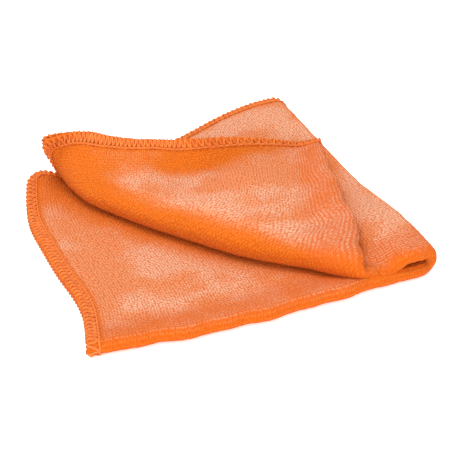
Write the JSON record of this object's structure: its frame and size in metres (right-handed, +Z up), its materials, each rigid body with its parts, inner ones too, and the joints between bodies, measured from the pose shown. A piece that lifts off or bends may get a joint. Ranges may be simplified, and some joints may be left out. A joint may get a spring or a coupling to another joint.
{
  "type": "quick dry towel",
  "caption": "Square pile-knit towel with overlocked edges, folded to a quarter with its top corner turned back over a soft diagonal roll.",
  "frame": {"origin": "on the floor under the centre of the folded square, at the rest face", "axes": "+X along the front fold towards the end fold, +Y towards the sewn back edge, +Z up"},
  "size_m": [0.2056, 0.2053, 0.0378],
  "materials": {
    "pile_cloth": "matt brushed pile knit with a soft sheen",
    "edge_thread": "textured polyester overlock thread"
  },
  "bodies": {
    "folded_stack": {"bottom_outer_layer": "pile_cloth", "bottom_inner_layer": "pile_cloth", "bottom_front_fold": "pile_cloth", "upper_inner_layer": "pile_cloth", "upper_outer_layer": "pile_cloth", "upper_front_fold": "pile_cloth", "inner_end_fold": "pile_cloth", "outer_end_fold": "pile_cloth", "bottom_outer_side_hem": "edge_thread", "bottom_outer_back_hem": "edge_thread", "bottom_inner_side_hem": "edge_thread", "bottom_inner_back_hem": "edge_thread", "upper_inner_back_hem": "edge_thread", "upper_outer_back_hem": "edge_thread"},
    "turned_corner": {"roll_inner_layer": "pile_cloth", "roll_outer_layer": "pile_cloth", "corner_inner_layer": "pile_cloth", "corner_outer_layer": "pile_cloth", "corner_front_fold": "pile_cloth", "corner_inner_side_hem": "edge_thread", "corner_outer_side_hem": "edge_thread"}
  },
  "joints": [
    {"name": "corner_lift", "type": "hinge", "parent": "folded_stack", "child": "turned_corner", "pos_m": [-0.096, 0.1, 0.0218], "axis": [0.6051, -0.7962, 0], "range_deg": [0, 60]}
  ]
}
